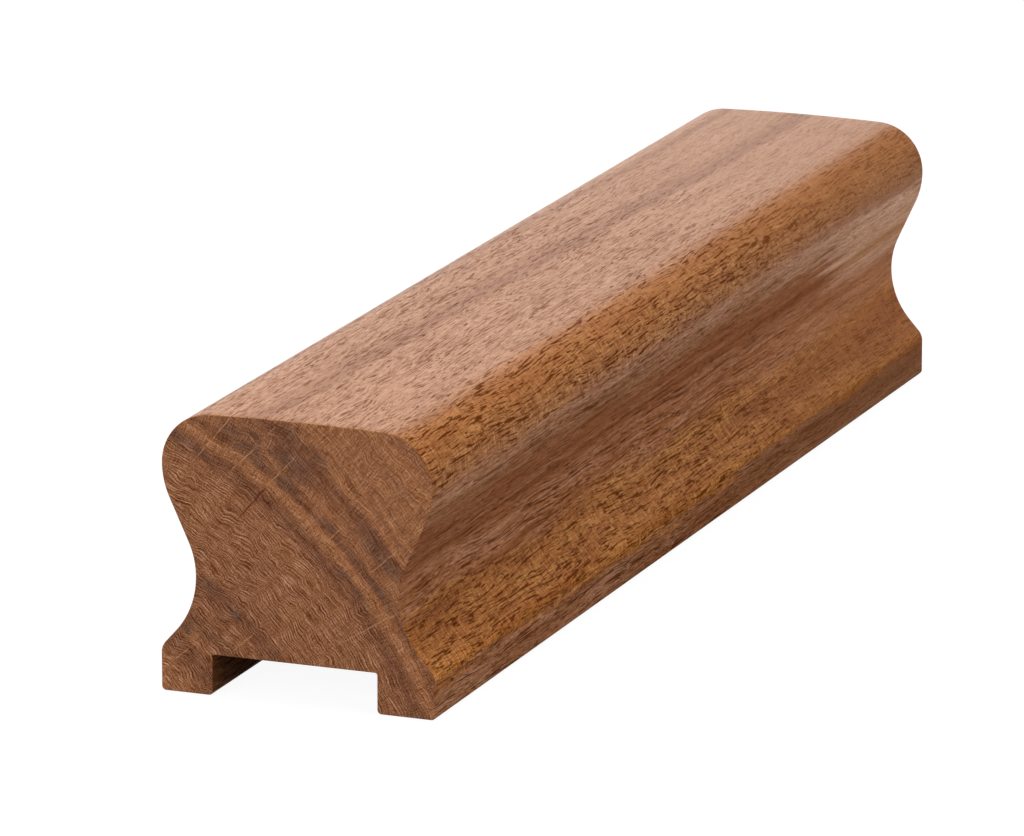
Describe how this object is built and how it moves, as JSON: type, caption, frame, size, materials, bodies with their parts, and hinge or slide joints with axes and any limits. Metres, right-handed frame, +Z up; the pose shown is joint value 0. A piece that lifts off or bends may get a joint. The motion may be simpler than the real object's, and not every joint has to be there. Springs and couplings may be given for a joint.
{
  "type": "grab rail",
  "caption": "Straight length of moulded hardwood grab rail with a rounded head, hollowed sides and a shallow groove along the underside.",
  "frame": {"origin": "middle of the underside, halfway along the rail and halfway across its feet", "axes": "+Y along the rail, +X across it, +Z up from the feet to the crown of the head"},
  "size_m": [0.07, 0.35, 0.069],
  "materials": {
    "hardwood": "bare planed and sanded, open pored, with a soft sheen"
  },
  "bodies": {
    "root": {"rail": "hardwood"}
  },
  "joints": []
}
